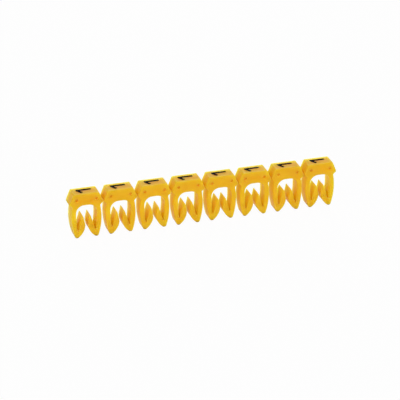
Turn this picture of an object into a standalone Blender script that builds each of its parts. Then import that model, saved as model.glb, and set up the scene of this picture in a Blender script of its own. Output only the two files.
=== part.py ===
# Strip of clip-on cable markers, moulded in one piece.
# Toothed markers stand side by side along X and are joined at their shoulders by thin webs that are
# snapped to part them. The wire runs through each marker along Y, and the legend face is on top.
# The strip stands on the tips of its legs at z = 0, with its box centred on the Z axis.

import math

import bmesh
import bpy
from mathutils import Matrix, Vector

mm = 0.001

# The strip
marker_count = 8
web_length = 0.16 * mm           # gap between two neighbours' shoulders
web_height = 0.24 * mm           # where the web leaves the shoulder
web_waist = 0.15 * mm            # at the middle of the web, where it snaps
web_inset = 0.30 * mm            # from a marker's front and back faces to the web
web_root = 0.12 * mm             # how far the web reaches into a shoulder

# One marker
depth = 2.2 * mm                 # along the wire
edge_break = 0.06 * mm           # chamfer round the front and back faces

# The opening for the wire
opening_width = 3.05 * mm        # between the legs
roof_height = 5.02 * mm          # from the tips to the underside of the head
roof_fillet = 1.2 * mm

# The head
head_thickness = 1.78 * mm       # from the roof of the opening to the legend face
head_flank_run = 0.56 * mm       # how much the head narrows from the shoulder up, each side
head_corner_round = 0.25 * mm
shoulder_overhang = 0.255 * mm   # beyond the widest place of the legs
shoulder_above_roof = 0.40 * mm  # from the roof to the top of the shoulder's upright edge
shoulder_edge = 0.22 * mm        # height of that upright edge
shoulder_round = 0.08 * mm

# The legs
leg_thickness = 0.64 * mm        # at their widest place
leg_widest_below_roof = 1.6 * mm
leg_bend_below_roof = 2.3 * mm   # where the inner face starts to lean in
leg_bend_radius = 6 * mm
neck_inset = 0.17 * mm           # how far the leg pulls in below the shoulder
neck_below_roof = 0.20 * mm
neck_round = 0.18 * mm
tip_inset = 0.50 * mm            # from the leg's widest place in to its tip
tip_land = 0.38 * mm             # the flat that the marker stands on, before its corners are rounded
tip_round = 0.27 * mm

# The barbs that close the mouth, one rising from each tip
mouth_gap = 0.40 * mm            # between the two barbs, where the mouth is narrowest
mouth_height = 1.90 * mm         # from the tips to that place
mouth_round = 0.10 * mm
lead_in_bulge = 0.26 * mm        # how far the way in below that place bulges
barb_apex_run = 0.33 * mm        # from the mouth's narrowest place out to the barb's point
barb_rise = 1.62 * mm            # from there up to where the two faces of the barb would meet
barb_apex_round = 0.08 * mm
notch_inset = 0.21 * mm          # from the leg's inner face to the bottom of the notch
notch_height = 0.82 * mm         # where its two sides would meet
notch_round = 0.07 * mm

# Sockets in the front face and pips on the back face, which line up markers on one wire
pip_spacing = 2.9 * mm
pip_below_top = 0.92 * mm
pip_diameter = 0.40 * mm
pip_height = 0.20 * mm
pip_round = 0.05 * mm
pip_clearance = 0.03 * mm        # all round a pip in its socket
socket_spare_depth = 0.08 * mm

# Sizes that follow from those above
opening_half = opening_width / 2
leg_half = opening_half + leg_thickness
shoulder_half = leg_half + shoulder_overhang
pitch = 2 * shoulder_half + web_length
top_height = roof_height + head_thickness
top_half = shoulder_half - head_flank_run
shoulder_top = roof_height + shoulder_above_roof
shoulder_bottom = shoulder_top - shoulder_edge
web_level = (shoulder_top + shoulder_bottom) / 2
front_y = -(depth + pip_height) / 2
back_y = front_y + depth
pip_level = top_height - pip_below_top

# How finely curves are cut into straight runs
bow_steps = 7
corner_steps = 3
fillet_steps = 6
pip_sides = 12

moulded_yellow = (0.79, 0.42, 0.02, 1.0)


def arc_through(start, middle, end, steps):
    """Points along the circle through three points, between the first and the last."""
    a = Vector(start)
    ab, ac = Vector(middle) - a, Vector(end) - a
    twice_area = 2 * (ab.x * ac.y - ab.y * ac.x)
    centre = a + Vector((ac.y * ab.length_squared - ab.y * ac.length_squared,
                         ab.x * ac.length_squared - ac.x * ab.length_squared)) / twice_area
    turn = (a - centre).angle_signed(Vector(end) - centre)
    return [centre + Matrix.Rotation(-turn * step / steps, 2) @ (a - centre)
            for step in range(1, steps)]


def rounded(before, corner, after, radius, steps):
    """Points of the arc that touches both lines of a corner."""
    corner = Vector(corner)
    to_before = (Vector(before) - corner).normalized()
    to_after = (Vector(after) - corner).normalized()
    half_angle = to_before.angle(to_after) / 2
    centre = corner + (to_before + to_after).normalized() * radius / math.sin(half_angle)
    first = corner + to_before * radius / math.tan(half_angle) - centre
    last = corner + to_after * radius / math.tan(half_angle) - centre
    turn = first.angle_signed(last)
    return [centre + Matrix.Rotation(-turn * step / steps, 2) @ first
            for step in range(steps + 1)]


def half_outline():
    """The right half of a marker from the front, as (x, z), from its top round to the roof."""
    neck = (leg_half - neck_inset, roof_height - neck_below_roof)
    leg_widest = (leg_half, roof_height - leg_widest_below_roof)
    tip_outer = (leg_half - tip_inset, 0)
    tip_inner = (leg_half - tip_inset - tip_land, 0)
    mouth = (mouth_gap / 2, mouth_height)
    barb_apex = (mouth_gap / 2 + barb_apex_run, mouth_height + barb_rise)
    notch = (opening_half - notch_inset, notch_height)
    leg_bend = (opening_half, roof_height - leg_bend_below_roof)

    chord = Vector(mouth) - Vector(tip_inner)
    lead_in = Vector(tip_inner) + chord / 2 + chord.orthogonal().normalized() * lead_in_bulge

    # Each corner with the radius of its rounding; a radius of 0 is a point of a bowed line.
    corners = [
        ((top_half, top_height), head_corner_round, corner_steps),
        ((shoulder_half, shoulder_top), shoulder_round, corner_steps),
        ((shoulder_half, shoulder_bottom), shoulder_round, corner_steps),
        (neck, neck_round, corner_steps),
        *((point, 0, 0) for point in arc_through(neck, leg_widest, tip_outer, bow_steps)),
        (tip_outer, tip_round, corner_steps),
        (tip_inner, tip_round, corner_steps),
        *((point, 0, 0) for point in arc_through(tip_inner, lead_in, mouth, bow_steps)),
        (mouth, mouth_round, corner_steps),
        (barb_apex, barb_apex_round, corner_steps),
        (notch, notch_round, corner_steps),
        (leg_bend, leg_bend_radius, corner_steps),
        ((opening_half, roof_height), roof_fillet, fillet_steps),
    ]
    path = [(0, top_height), *(place for place, radius, steps in corners), (0, roof_height)]
    outline = []
    for index, (place, radius, steps) in enumerate(corners):
        if radius:
            outline += rounded(path[index], place, path[index + 2], radius, steps)
        else:
            outline.append(place)
    return outline


def extruded(outline, low_y, high_y):
    """A closed solid with this outline in x and z, from low_y to high_y."""
    solid = bmesh.new()
    face = solid.faces.new([solid.verts.new((x, low_y, z)) for x, z in outline])
    grown = bmesh.ops.extrude_face_region(solid, geom=[face])
    moved = [item for item in grown["geom"] if isinstance(item, bmesh.types.BMVert)]
    bmesh.ops.translate(solid, verts=moved, vec=(0, high_y - low_y, 0))
    bmesh.ops.recalc_face_normals(solid, faces=solid.faces)
    return solid


def edges_at(solid, y):
    """The edges that lie wholly at this y."""
    near = 0.001 * mm
    return [edge for edge in solid.edges if all(abs(vert.co.y - y) < near for vert in edge.verts)]


def add_marker(material):
    """The first marker of the strip, at the low end of X."""
    right = half_outline()
    left = [(-x, z) for x, z in reversed(right)]
    solid = extruded(right + left, front_y, back_y)
    rims = edges_at(solid, front_y) + edges_at(solid, back_y)
    bmesh.ops.bevel(solid, geom=rims, offset=edge_break, segments=1, affect="EDGES")
    bmesh.ops.translate(solid, verts=solid.verts, vec=(-(marker_count - 1) / 2 * pitch, 0, 0))
    return add_object("marker_strip", solid, material)


def add_rods(name, diameter, low_y, high_y, rounding):
    """Two short rods along Y at the pips' places on the first marker."""
    rods = bmesh.new()
    for side in (-1, 1):
        x = side * pip_spacing / 2 - (marker_count - 1) / 2 * pitch
        place = Matrix.Translation((x, (low_y + high_y) / 2, pip_level))
        upright = Matrix.Rotation(math.radians(90), 4, "X")
        bmesh.ops.create_cone(rods, cap_ends=True, segments=pip_sides, radius1=diameter / 2,
                              radius2=diameter / 2, depth=high_y - low_y, matrix=place @ upright)
    if rounding:
        bmesh.ops.bevel(rods, geom=edges_at(rods, high_y), offset=rounding, segments=1, affect="EDGES")
    bmesh.ops.recalc_face_normals(rods, faces=rods.faces)
    return add_guide(name, rods)


def web_outline(centre, reach_left, reach_right):
    """A web seen from the front, waisted at its centre, as far as asked to each side."""
    half = web_height / 2
    upper = [(centre, web_level + web_waist / 2)]
    if reach_left:
        upper = [(centre - web_length / 2 - web_root, web_level + half),
                 (centre - web_length / 2, web_level + half), *upper]
    if reach_right:
        upper += [(centre + web_length / 2, web_level + half),
                  (centre + web_length / 2 + web_root, web_level + half)]
    lower = [(x, 2 * web_level - z) for x, z in reversed(upper)]
    return upper + lower


def add_webs():
    """The webs between the markers, and half a web at each end, where the strip was parted."""
    webs = bmesh.new()
    for place in range(marker_count + 1):
        centre = (place - marker_count / 2) * pitch
        outline = web_outline(centre, reach_left=place > 0, reach_right=place < marker_count)
        web = extruded(outline, front_y + web_inset, back_y - web_inset)
        mesh = bpy.data.meshes.new("web")
        web.to_mesh(mesh)
        web.free()
        webs.from_mesh(mesh)
        bpy.data.meshes.remove(mesh)
    return add_guide("webs", webs)


def add_object(name, solid, material=None):
    mesh = bpy.data.meshes.new(name)
    solid.to_mesh(mesh)
    solid.free()
    if material:
        mesh.materials.append(material)
    item = bpy.data.objects.new(name, mesh)
    bpy.context.scene.collection.objects.link(item)
    return item


def add_guide(name, solid):
    """A solid that only joins or cuts another one."""
    guide = add_object(name, solid)
    guide.display_type = "WIRE"
    guide.hide_render = True
    return guide


def add_boolean(item, name, operation, other):
    boolean = item.modifiers.new(name, "BOOLEAN")
    boolean.operation = operation
    boolean.solver = "EXACT"
    boolean.object = other


def make_material(name, colour, roughness):
    material = bpy.data.materials.new(name)
    material.use_nodes = True
    shader = material.node_tree.nodes["Principled BSDF"]
    shader.inputs["Base Color"].default_value = colour
    shader.inputs["Roughness"].default_value = roughness
    shader.inputs["Metallic"].default_value = 0.0
    return material


def clear_scene():
    for item in list(bpy.data.objects):
        bpy.data.objects.remove(item, do_unlink=True)


def build():
    clear_scene()
    strip = add_marker(make_material("moulded_yellow", moulded_yellow, roughness=0.4))

    pips = add_rods("pips", pip_diameter, (front_y + back_y) / 2, back_y + pip_height, pip_round)
    sockets = add_rods("sockets", pip_diameter + 2 * pip_clearance, front_y - pip_height,
                       front_y + pip_height + socket_spare_depth, 0)
    add_boolean(strip, "pips", "UNION", pips)
    add_boolean(strip, "sockets", "DIFFERENCE", sockets)

    row = strip.modifiers.new("row", "ARRAY")
    row.fit_type = "FIXED_COUNT"
    row.count = marker_count
    row.use_relative_offset = False
    row.use_constant_offset = True
    row.constant_offset_displace = (pitch, 0, 0)

    add_boolean(strip, "webs", "UNION", add_webs())


build()
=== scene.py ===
# Looks of a moulded strip of clip-on cable markers, on a white studio floor.
import math

import bmesh
import bpy
from mathutils import Matrix, Vector


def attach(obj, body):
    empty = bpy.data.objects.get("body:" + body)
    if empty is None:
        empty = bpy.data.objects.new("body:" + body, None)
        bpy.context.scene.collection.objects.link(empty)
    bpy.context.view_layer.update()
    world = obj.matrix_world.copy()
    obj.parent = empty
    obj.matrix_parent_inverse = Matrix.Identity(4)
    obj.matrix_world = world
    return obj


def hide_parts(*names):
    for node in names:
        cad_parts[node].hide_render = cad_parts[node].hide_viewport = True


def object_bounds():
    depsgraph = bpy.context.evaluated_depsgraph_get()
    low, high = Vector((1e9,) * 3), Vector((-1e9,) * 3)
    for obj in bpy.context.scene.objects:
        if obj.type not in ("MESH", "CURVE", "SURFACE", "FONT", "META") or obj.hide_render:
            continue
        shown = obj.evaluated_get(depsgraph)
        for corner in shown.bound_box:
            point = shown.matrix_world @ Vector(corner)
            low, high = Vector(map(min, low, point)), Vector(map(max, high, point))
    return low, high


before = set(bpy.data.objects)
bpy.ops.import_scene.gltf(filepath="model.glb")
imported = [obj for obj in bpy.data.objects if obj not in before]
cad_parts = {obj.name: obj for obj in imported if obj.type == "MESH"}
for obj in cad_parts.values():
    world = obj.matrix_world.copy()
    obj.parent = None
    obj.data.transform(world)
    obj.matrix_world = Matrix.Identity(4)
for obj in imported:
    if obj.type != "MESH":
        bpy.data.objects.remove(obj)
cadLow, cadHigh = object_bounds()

mm = 0.001
samePlace = 0.001 * mm           # places closer than this are the same place
frontY = cadLow.y                # front faces of the markers; the pips behind reach cadHigh.y
topZ = cadHigh.z


def say(text):
    print("scene:", text)


# Selecting and modifiers

def selectOnly(item):
    bpy.ops.object.select_all(action="DESELECT")
    item.select_set(True)
    bpy.context.view_layer.objects.active = item


def editMode(item):
    selectOnly(item)
    bpy.ops.object.mode_set(mode="EDIT")


def objectMode():
    bpy.ops.object.mode_set(mode="OBJECT")


# Selects the vertices, edges or faces that pass the test, in edit mode
def pick(item, kind, test):
    bpy.ops.mesh.select_mode(type=kind)
    bpy.ops.mesh.select_all(action="DESELECT")
    mesh = bmesh.from_edit_mesh(item.data)
    for part in {"VERT": mesh.verts, "EDGE": mesh.edges, "FACE": mesh.faces}[kind]:
        part.select_set(test(part))
    mesh.select_flush_mode()
    bmesh.update_edit_mesh(item.data)


def edgeAtY(y):
    return lambda edge: all(abs(vert.co.y - y) < samePlace for vert in edge.verts)


def applyModifier(item, kind, **settings):
    selectOnly(item)
    bpy.ops.object.modifier_add(type=kind)
    modifier = item.modifiers[-1]
    for name, value in settings.items():
        setattr(modifier, name, value)
    bpy.ops.object.modifier_apply(modifier=modifier.name)


# Puts an object's place, turn and scale in its mesh
def bakePlace(item):
    selectOnly(item)
    bpy.ops.object.transform_apply(location=True, rotation=True, scale=True)


# Joins or cuts with another solid, which is used up
def combine(item, other, operation):
    applyModifier(item, "BOOLEAN", operation=operation, solver="EXACT", object=other)
    bpy.data.objects.remove(other, do_unlink=True)


# Outlines drawn in edit mode, as (across, up) places seen from the front

def at(place):
    return Vector((place[0], 0, place[1]))


# A single selected vertex to draw from
def startOutline(name, place):
    bpy.ops.object.select_all(action="DESELECT")
    bpy.ops.mesh.primitive_plane_add(size=mm, location=at(place))
    item = bpy.context.object
    item.name = item.data.name = name
    bakePlace(item)
    editMode(item)
    bpy.ops.mesh.select_all(action="SELECT")
    bpy.ops.mesh.merge(type="CENTER")
    return item


def circleCentre(a, b, c):
    ab, ac = b - a, c - a
    twiceArea = 2 * (ab.x * ac.y - ab.y * ac.x)
    return a + Vector((ac.y * ab.length_squared - ab.y * ac.length_squared,
                       ab.x * ac.length_squared - ac.x * ab.length_squared)) / twiceArea


# The direction in which a run leaves its start; a bowed run also passes through a middle place
def wayOut(start, middle, end):
    if middle is None:
        return (end - start).normalized()
    way = (start - circleCentre(start, middle, end)).orthogonal().normalized()
    return way if way.dot(end - start) > 0 else -way


def arcTo(start, centre, end, steps):
    angle = (end - centre).angle_signed(start - centre)
    bpy.ops.mesh.spin(steps=steps, angle=angle, center=at(centre), axis=(0, 1, 0), dupli=False)


def runTo(start, middle, end, steps):
    if middle is None:
        bpy.ops.mesh.extrude_vertices_move(TRANSFORM_OT_translate={"value": at(end - start)})
    else:
        arcTo(start, circleCentre(start, middle, end), end, steps)


# Draws from the selected vertex through rounded corners to the end.
# A corner is (across, up, radius, steps), and bows gives the middle places of the runs that bow to a corner.
def drawOutline(start, corners, end, bows, bowSteps):
    places = [Vector(start), *(Vector(corner[:2]) for corner in corners.values()), Vector(end)]
    middles = [Vector(bows[name]) if name in bows else None for name in corners] + [None]
    drawn = places[0]
    for index, (across, up, radius, steps) in enumerate(corners.values()):
        before, corner, after = places[index:index + 3]
        wayBack = wayOut(corner, middles[index], before)
        wayOn = wayOut(corner, middles[index + 1], after)
        half = wayBack.angle(wayOn) / 2
        reach = radius / math.tan(half)
        centre = corner + (wayBack + wayOn).normalized() * radius / math.sin(half)
        runTo(drawn, middles[index], corner + wayBack * reach, bowSteps)
        arcTo(corner + wayBack * reach, centre, corner + wayOn * reach, steps)
        drawn = corner + wayOn * reach
    runTo(drawn, None, places[-1], bowSteps)


def inMetres(table):
    return {name: tuple(value * mm for value in row) for name, row in table.items()}


# The moulded strip: eight markers joined at their shoulders by thin webs

marker = {
    "count": 8,
    "depth": 2.2 * mm,           # along the wire
    "edgeRound": 0.07 * mm,      # round the front and back faces, as worn mould edges leave it
    "edgeSteps": 4,
    "bowSteps": 26,
    "smoothAngle": 32,           # degrees between faces, up to which they are shaded as one
}
# Corners of the right half from the front, in mm:
# across from the middle, up from the tips, radius of rounding
markerCorners = {
    "headTop": (1.86, 6.80, 0.25),
    "shoulderTop": (2.42, 5.42, 0.08),
    "shoulderBottom": (2.42, 5.20, 0.08),
    "neck": (1.995, 4.82, 0.18),
    "tipOuter": (1.665, 0, 0.27),
    "tipInner": (1.285, 0, 0.27),
    "mouth": (0.20, 1.90, 0.10),
    "barbApex": (0.53, 3.52, 0.08),
    "notch": (1.315, 0.82, 0.07),
    "legBend": (1.525, 2.72, 6),
    "roof": (1.525, 5.02, 1.2),
}
# Steps of the rounding of each corner
cornerSteps = {
    "headTop": 8, "shoulderTop": 5, "shoulderBottom": 5, "neck": 6, "tipOuter": 8, "tipInner": 5,
    "mouth": 5, "barbApex": 10, "notch": 10, "legBend": 8, "roof": 18,
}
# Where the outer faces of the legs and the way in between the barbs bow, in mm
markerBows = {"tipOuter": (2.165, 3.42), "mouth": (0.517, 0.821)}

# Sockets in the front face and pips behind, which line up markers on one wire
pips = {
    "spacing": 2.9 * mm,
    "belowTop": 0.92 * mm,
    "diameter": 0.40 * mm,
    "height": 0.20 * mm,
    "round": 0.05 * mm,
    "roundSteps": 4,
    "socketDiameter": 0.46 * mm,
    "socketDepth": 0.28 * mm,
    "sides": 32,
}

web = {
    "height": 0.24 * mm,         # where it leaves a shoulder
    "waist": 0.15 * mm,          # where it snaps
    "inset": 0.30 * mm,          # from the front and back faces
    "root": 0.12 * mm,           # how far it reaches into a shoulder
}

backY = cadHigh.y - pips["height"]
pitch = (cadHigh.x - cadLow.x) / marker["count"]
firstX = cadLow.x + pitch / 2
shoulderX = markerCorners["shoulderTop"][0] * mm


def makeMarker():
    corners = inMetres(markerCorners)
    rounded = {name: (*corner, cornerSteps[name]) for name, corner in corners.items()}
    topMiddle = (0, topZ)
    roofMiddle = (0, corners["roof"][1])
    item = startOutline("marker_strip_body", topMiddle)
    drawOutline(topMiddle, rounded, roofMiddle, inMetres(markerBows), marker["bowSteps"])
    objectMode()
    applyModifier(item, "MIRROR", merge_threshold=samePlace)

    editMode(item)
    bpy.ops.mesh.select_all(action="SELECT")
    bpy.ops.mesh.edge_face_add()
    bpy.ops.transform.translate(value=(0, frontY, 0))
    bpy.ops.mesh.extrude_region_move(TRANSFORM_OT_translate={"value": (0, marker["depth"], 0)})
    bpy.ops.mesh.select_all(action="SELECT")
    bpy.ops.mesh.normals_make_consistent(inside=False)
    for y in (frontY, frontY + marker["depth"]):
        pick(item, "EDGE", edgeAtY(y))
        bpy.ops.mesh.bevel(offset=marker["edgeRound"], segments=marker["edgeSteps"], profile=0.5,
                           affect="EDGES")
    objectMode()
    return item


# A short rod along the wire, with its far end rounded over
def makeRod(x, diameter, lowY, highY, rounding):
    bpy.ops.object.select_all(action="DESELECT")
    bpy.ops.mesh.primitive_cylinder_add(
        vertices=pips["sides"], radius=diameter / 2, depth=highY - lowY,
        location=(x, (lowY + highY) / 2, topZ - pips["belowTop"]), rotation=(math.radians(90), 0, 0))
    rod = bpy.context.object
    bakePlace(rod)
    editMode(rod)
    pick(rod, "EDGE", edgeAtY(highY))
    bpy.ops.mesh.bevel(offset=rounding, segments=pips["roundSteps"], profile=0.5, affect="EDGES")
    objectMode()
    return rod


def addSocketsAndPips(item):
    for side in (-1, 1):
        x = side * pips["spacing"] / 2
        middleY = (frontY + backY) / 2
        combine(item, makeRod(x, pips["diameter"], middleY, cadHigh.y, pips["round"]), "UNION")
        combine(item, makeRod(x, pips["socketDiameter"], frontY - pips["height"],
                              frontY + pips["socketDepth"], pips["round"]), "DIFFERENCE")


# One web about its snapping place, which is waisted by scaling its middle
def makeWeb(x):
    length = pitch - 2 * shoulderX + 2 * web["root"]
    bpy.ops.object.select_all(action="DESELECT")
    corners = inMetres(markerCorners)
    level = (corners["shoulderTop"][1] + corners["shoulderBottom"][1]) / 2
    bpy.ops.mesh.primitive_cube_add(
        size=1, location=(x, (frontY + backY) / 2, level),
        scale=(length, backY - frontY - 2 * web["inset"], web["height"]))
    item = bpy.context.object
    bakePlace(item)
    editMode(item)
    bpy.ops.mesh.select_all(action="SELECT")
    bpy.ops.mesh.subdivide(number_cuts=1)
    pick(item, "VERT", lambda vert: abs(vert.co.x - x) < samePlace)
    bpy.ops.transform.resize(value=(1, 1, web["waist"] / web["height"]), center_override=(x, 0, level))
    objectMode()
    return item


# Cuts a web at the strip's end, where it was snapped off
def snapWeb(item, x, outwards):
    editMode(item)
    bpy.ops.mesh.select_all(action="SELECT")
    bpy.ops.mesh.bisect(plane_co=(x, 0, 0), plane_no=(outwards, 0, 0), use_fill=True, clear_outer=True)
    objectMode()


def makeStrip():
    item = makeMarker()
    addSocketsAndPips(item)
    editMode(item)
    bpy.ops.mesh.select_all(action="SELECT")
    bpy.ops.transform.translate(value=(firstX, 0, 0))
    objectMode()
    applyModifier(item, "ARRAY", fit_type="FIXED_COUNT", count=marker["count"], use_relative_offset=False,
                  use_constant_offset=True, constant_offset_displace=(pitch, 0, 0))
    say("markers drawn, extruded and repeated")

    for place in range(marker["count"] + 1):
        x = cadLow.x + place * pitch
        webPiece = makeWeb(x)
        if place in (0, marker["count"]):
            snapWeb(webPiece, x, -1 if place == 0 else 1)
        combine(item, webPiece, "UNION")
    say("webs joined")

    selectOnly(item)
    bpy.ops.object.shade_smooth_by_angle(angle=math.radians(marker["smoothAngle"]))
    applyModifier(item, "WEIGHTED_NORMAL", keep_sharp=True)
    return item


def reportSolid(item):
    mesh = bmesh.new()
    mesh.from_mesh(item.data)
    openEdges = sum(len(edge.link_faces) != 2 for edge in mesh.edges)
    triangles = sum(len(face.verts) - 2 for face in mesh.faces)
    say(f"{item.name}: {triangles} triangles, {openEdges} open edges, {mesh.calc_volume() / mm**3:.2f} mm3")
    mesh.free()


strip = makeStrip()
reportSolid(strip)


# The legend: a plain figure one, lying along the strip, marked in ink on each top face

legend = {
    "left": -1.19 * mm,          # from the marker's middle, across
    "right": 1.00 * mm,
    "middleY": 0.30 * mm,        # from the middle of the top face, away from the front
    "stroke": 0.43 * mm,
    "flagAngle": 58,             # degrees between the flag and the stem
    "flagLength": 0.95 * mm,
    "round": 0.06 * mm,
    "roundSteps": 4,
    "ink": 0.012 * mm,           # thickness over the plastic
    "bite": 0.006 * mm,          # how far the ink reaches into it
}


def makeNumeral():
    half = legend["stroke"] / 2
    low, high = legend["middleY"] - half, legend["middleY"] + half
    flagAngle = math.radians(legend["flagAngle"])
    along = Vector((math.cos(flagAngle), -math.sin(flagAngle)))
    flagOuter = Vector((legend["left"], low)) + along * legend["flagLength"]
    flagInner = flagOuter + along.orthogonal() * legend["stroke"]
    meeting = flagInner + along * (low - flagInner.y) / along.y
    start = (legend["left"], legend["middleY"])
    corners = {
        "endLow": (legend["left"], low),
        "flagOuter": tuple(flagOuter),
        "flagInner": tuple(flagInner),
        "meeting": tuple(meeting),
        "rightLow": (legend["right"], low),
        "rightHigh": (legend["right"], high),
        "endHigh": (legend["left"], high),
    }
    rounded = {name: (*place, legend["round"], legend["roundSteps"]) for name, place in corners.items()}
    item = startOutline("legend_1", start)
    drawOutline(start, rounded, start, {}, 1)
    bpy.ops.mesh.select_all(action="SELECT")
    bpy.ops.mesh.remove_doubles(threshold=samePlace)
    bpy.ops.mesh.edge_face_add()
    bpy.ops.mesh.extrude_region_move(TRANSFORM_OT_translate={"value": (0, legend["ink"] + legend["bite"], 0)})
    bpy.ops.mesh.select_all(action="SELECT")
    bpy.ops.mesh.normals_make_consistent(inside=False)
    objectMode()

    # Laid down on the top face of the first marker
    item.rotation_euler = (math.radians(-90), 0, 0)
    item.location = (firstX, (frontY + backY) / 2, topZ + legend["ink"])
    bakePlace(item)
    return item


def makeLegends():
    items = [makeNumeral()]
    for place in range(1, marker["count"]):
        selectOnly(items[0])
        bpy.ops.object.duplicate()
        item = bpy.context.object
        item.name = item.data.name = f"legend_{place + 1}"
        item.location = (place * pitch, 0, 0)
        bakePlace(item)
        items.append(item)
    return items


legends = makeLegends()
reportSolid(legends[0])
say("figures marked on the top faces")


# Materials

def hexColour(text):
    channels = [int(text[place:place + 2], 16) / 255 for place in (1, 3, 5)]
    linear = [value / 12.92 if value <= 0.04045 else ((value + 0.055) / 1.055) ** 2.4 for value in channels]
    return (*linear, 1)


# Adds a node with its settings, its values and what is linked to it
def addNode(tree, kind, values=None, links=None, **settings):
    node = tree.nodes.new(kind)
    for name, value in settings.items():
        setattr(node, name, value)
    for name, value in (values or {}).items():
        node.inputs[name].default_value = value
    for name, source in (links or {}).items():
        tree.links.new(source, node.inputs[name])
    return node


def newMaterial(name):
    material = bpy.data.materials.new(name)
    material.use_nodes = True
    return material, material.node_tree, material.node_tree.nodes["Principled BSDF"]


polyamide = {
    "dark": "#F1AF1E",
    "light": "#F8BA24",
    "tintSize": 2.6 * mm,        # of the clouds of slightly deeper colour
    "tintEnds": (0.3, 0.7),      # where the pattern of clouds is all dark and all light
    "socket": "#D98A08",         # painted shade: a darker, deeper orange painted into narrow sockets, where shade falls
    "paintedShadeAmount": 0.6,           # how much of it shows
    "paintedShadeReach": 0.25 * mm,    # how near the walls are that close a place in
    "socketEnds": (0.95, 0.45),  # openness at which the painted shade starts and is full
    "grainSize": 0.16 * mm,      # of the eroded mould's grain, drawn as coarse as it can show
    "grainRelief": (0.35, 0.03 * mm),   # strength and height
    "sinkSize": 1.4 * mm,        # of the soft unevenness that cooling leaves
    "sinkRelief": (0.25, 0.12 * mm),
    "roughness": (0.42, 0.54),
    "refraction": 1.53,
    "specular": 0.28,
    "lightReach": 4.0 * mm,      # how far light travels inside, which is more than the thickness of a leg
    "reachByColour": (0.75, 0.88, 0.3),   # shares of it that red, green and blue light travel
}


# Moulded polyamide: satin from an eroded mould, slightly cloudy, with painted shade darkening its narrow
# sockets, and it glows orange where light gets through
def mouldedPolyamide():
    material, tree, shader = newMaterial("mouldedPolyamide")
    place = addNode(tree, "ShaderNodeTexCoord").outputs["Object"]
    clouds = addNode(tree, "ShaderNodeTexNoise", {"Scale": 1 / polyamide["tintSize"], "Detail": 3.0},
                     {"Vector": place})
    tint = addNode(tree, "ShaderNodeValToRGB", links={"Fac": clouds.outputs["Fac"]})
    for element, position, tone in zip(tint.color_ramp.elements, polyamide["tintEnds"], ("dark", "light")):
        element.position = position
        element.color = hexColour(polyamide[tone])

    # Painted shade: the more closely walls surround a place, the more of the darker socket colour is painted
    # on it
    openness = addNode(tree, "ShaderNodeAmbientOcclusion", {"Distance": polyamide["paintedShadeReach"]},
                       samples=16, only_local=True)
    paintedShadeStart, paintedShadeFull = polyamide["socketEnds"]
    paintedShadeMask = addNode(tree, "ShaderNodeMapRange",
                       {"From Min": paintedShadeStart, "From Max": paintedShadeFull, "To Max": polyamide["paintedShadeAmount"]},
                       {"Value": openness.outputs["AO"]})
    colour = addNode(tree, "ShaderNodeMixRGB", {"Color2": hexColour(polyamide["socket"])},
                     {"Fac": paintedShadeMask.outputs["Result"], "Color1": tint.outputs["Color"]})

    grain = addNode(tree, "ShaderNodeTexNoise", {"Scale": 1 / polyamide["grainSize"], "Detail": 4.0},
                    {"Vector": place})
    sinks = addNode(tree, "ShaderNodeTexNoise", {"Scale": 1 / polyamide["sinkSize"], "Detail": 1.0},
                    {"Vector": place})
    smoothest, roughest = polyamide["roughness"]
    gloss = addNode(tree, "ShaderNodeMapRange", {"To Min": smoothest, "To Max": roughest},
                    {"Value": grain.outputs["Fac"]})
    strength, height = polyamide["sinkRelief"]
    uneven = addNode(tree, "ShaderNodeBump", {"Strength": strength, "Distance": height},
                     {"Height": sinks.outputs["Fac"]})
    strength, height = polyamide["grainRelief"]
    fine = addNode(tree, "ShaderNodeBump", {"Strength": strength, "Distance": height},
                   {"Height": grain.outputs["Fac"], "Normal": uneven.outputs["Normal"]})

    tree.links.new(colour.outputs["Color"], shader.inputs["Base Color"])
    tree.links.new(gloss.outputs["Result"], shader.inputs["Roughness"])
    tree.links.new(fine.outputs["Normal"], shader.inputs["Normal"])
    shader.inputs["IOR"].default_value = polyamide["refraction"]
    shader.inputs["Specular IOR Level"].default_value = polyamide["specular"]
    shader.inputs["Subsurface Weight"].default_value = 1.0
    shader.inputs["Subsurface Radius"].default_value = polyamide["reachByColour"]
    shader.inputs["Subsurface Scale"].default_value = polyamide["lightReach"]
    return material


ink = {
    "thick": "#0C0704",
    "thin": "#1C110A",           # where the plastic shows through
    "patchSize": 0.5 * mm,
    "patchEnds": (0.35, 0.75),   # where the pattern of patches is all thick and all thin
    "roughness": 0.8,
    "refraction": 1.48,
    "specular": 0.12,
}


# Marking ink: matt black with a brown cast, a little thinner in patches
def markingInk():
    material, tree, shader = newMaterial("markingInk")
    place = addNode(tree, "ShaderNodeTexCoord").outputs["Object"]
    patches = addNode(tree, "ShaderNodeTexNoise", {"Scale": 1 / ink["patchSize"], "Detail": 4.0},
                      {"Vector": place})
    cover = addNode(tree, "ShaderNodeValToRGB", links={"Fac": patches.outputs["Fac"]})
    for element, position, tone in zip(cover.color_ramp.elements, ink["patchEnds"], ("thick", "thin")):
        element.position = position
        element.color = hexColour(ink[tone])
    tree.links.new(cover.outputs["Color"], shader.inputs["Base Color"])
    shader.inputs["Roughness"].default_value = ink["roughness"]
    shader.inputs["IOR"].default_value = ink["refraction"]
    shader.inputs["Specular IOR Level"].default_value = ink["specular"]
    return material


def giveMaterial(item, material):
    item.data.materials.clear()
    item.data.materials.append(material)


giveMaterial(strip, mouldedPolyamide())
inkMaterial = markingInk()
for item in legends:
    giveMaterial(item, inkMaterial)
say("materials given")


# White floor and light

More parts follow.
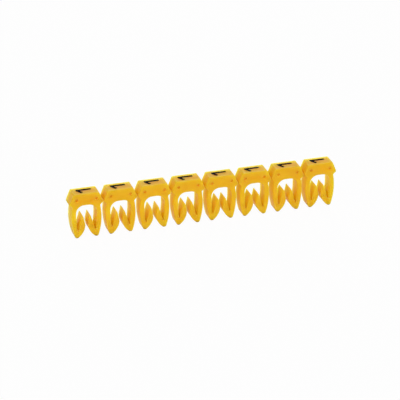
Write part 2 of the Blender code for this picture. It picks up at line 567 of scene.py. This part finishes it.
studio = {
    "floorSize": 1.2,
    "paper": "#F8F8F8",
    "floorGlow": 0.96,           # the backdrop's own share of the floor's white; the rest takes the shadow
    "worldLight": 0.5,
    "aim": (0, frontY, topZ / 2),
    # Place, width and power in watts of each soft lamp
    "lamps": {
        "keyLamp": ((0.20, -0.28, 0.13), 0.22, 0.22),
        "fillLamp": ((-0.18, -0.30, 0.12), 0.22, 0.43),
        "backLamp": ((0.10, 0.33, 0.03), 0.08, 0.85),
    },
    "noGloss": ("backLamp",),    # it shines through the plastic and leaves no highlight on it
}


# The share of rays that see the backdrop as plain white: the camera's, and those of gloss and glass
def backdropRays(tree):
    rays = addNode(tree, "ShaderNodeLightPath")
    glossy = addNode(tree, "ShaderNodeMath", operation="MAXIMUM",
                     links={0: rays.outputs["Is Camera Ray"], 1: rays.outputs["Is Glossy Ray"]})
    through = addNode(tree, "ShaderNodeMath", operation="MAXIMUM",
                      links={0: glossy.outputs[0], 1: rays.outputs["Is Transmission Ray"]})
    return through.outputs[0]


def whiteFloor():
    material = bpy.data.materials.new("whitePaper")
    material.use_nodes = True
    tree = material.node_tree
    tree.nodes.clear()
    glow = addNode(tree, "ShaderNodeMath", {1: studio["floorGlow"]}, {0: backdropRays(tree)},
                   operation="MULTIPLY")
    paper = addNode(tree, "ShaderNodeBsdfDiffuse", {"Color": hexColour(studio["paper"])})
    white = addNode(tree, "ShaderNodeEmission", {"Color": (1, 1, 1, 1), "Strength": 1.0})
    mix = addNode(tree, "ShaderNodeMixShader",
                  links={"Fac": glow.outputs[0], 1: paper.outputs[0], 2: white.outputs[0]})
    addNode(tree, "ShaderNodeOutputMaterial", links={"Surface": mix.outputs[0]})
    return material


def makeFloor():
    bpy.ops.object.select_all(action="DESELECT")
    bpy.ops.mesh.primitive_plane_add(size=studio["floorSize"], location=(0, 0, 0))
    floor = bpy.context.object
    floor.name = "floor"
    giveMaterial(floor, whiteFloor())


def makeWorld():
    world = bpy.data.worlds.new("whiteStudio")
    bpy.context.scene.world = world
    world.use_nodes = True
    tree = world.node_tree
    tree.nodes.clear()
    room = addNode(tree, "ShaderNodeBackground", {"Color": (1, 1, 1, 1), "Strength": studio["worldLight"]})
    backdrop = addNode(tree, "ShaderNodeBackground", {"Color": (1, 1, 1, 1), "Strength": 1.0})
    mix = addNode(tree, "ShaderNodeMixShader",
                  links={"Fac": backdropRays(tree), 1: room.outputs[0], 2: backdrop.outputs[0]})
    addNode(tree, "ShaderNodeOutputWorld", links={"Surface": mix.outputs[0]})


def makeLamp(name, place, width, power):
    bpy.ops.object.select_all(action="DESELECT")
    bpy.ops.object.light_add(type="AREA", location=place)
    lamp = bpy.context.object
    lamp.name = name
    lamp.data.size = width
    lamp.data.energy = power
    lamp.visible_glossy = name not in studio["noGloss"]
    lamp.rotation_euler = (Vector(studio["aim"]) - Vector(place)).to_track_quat("-Z", "Y").to_euler()


makeFloor()
makeWorld()
for name, (place, width, power) in studio["lamps"].items():
    makeLamp(name, place, width, power)
say("floor and lamps placed")


# Camera at the photo's angle

cameraView = {
    "yaw": 17.575,               # degrees from straight on, seen from the left end
    "elevation": 25.486,
    "roll": -0.299,
    "distance": 324.88 * mm,
    "photoWidth": 400,           # pixels
    "photoMiddle": (202.32, 196.36),   # where the strip's middle is in the photo, in pixels
    "pixelsPerMetre": 6971,
    "sensorWidth": 36,
}


def makeCamera():
    yaw, elevation, roll = (math.radians(cameraView[name]) for name in ("yaw", "elevation", "roll"))
    ahead = Vector((math.sin(yaw) * math.cos(elevation),
                    math.cos(yaw) * math.cos(elevation),
                    -math.sin(elevation)))
    level = Vector((math.cos(yaw), -math.sin(yaw), 0))
    upright = level.cross(ahead)
    right = level * math.cos(roll) - upright * math.sin(roll)
    up = level * math.sin(roll) + upright * math.cos(roll)

    frameMiddle = (cameraView["photoWidth"] - 1) / 2
    across = (cameraView["photoMiddle"][0] - frameMiddle) / cameraView["pixelsPerMetre"]
    above = (frameMiddle - cameraView["photoMiddle"][1]) / cameraView["pixelsPerMetre"]
    middle = Vector((0, (frontY + backY) / 2, topZ / 2))

    bpy.ops.object.camera_add()
    camera = bpy.context.object
    camera.name = "photoCamera"
    place = middle - ahead * cameraView["distance"] - right * across - up * above
    camera.matrix_world = Matrix.Translation(place) @ Matrix((right, up, -ahead)).transposed().to_4x4()
    camera.data.sensor_width = cameraView["sensorWidth"]
    focalPixels = cameraView["pixelsPerMetre"] * cameraView["distance"]
    camera.data.lens = focalPixels * cameraView["sensorWidth"] / cameraView["photoWidth"]
    bpy.context.scene.camera = camera


makeCamera()
bpy.context.scene.view_settings.view_transform = "Standard"
say("camera set")


# What stands for what in the frame

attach(strip, "root")
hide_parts("marker_strip")
for item in legends:
    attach(item, "root")

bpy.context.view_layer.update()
say("sizes written")
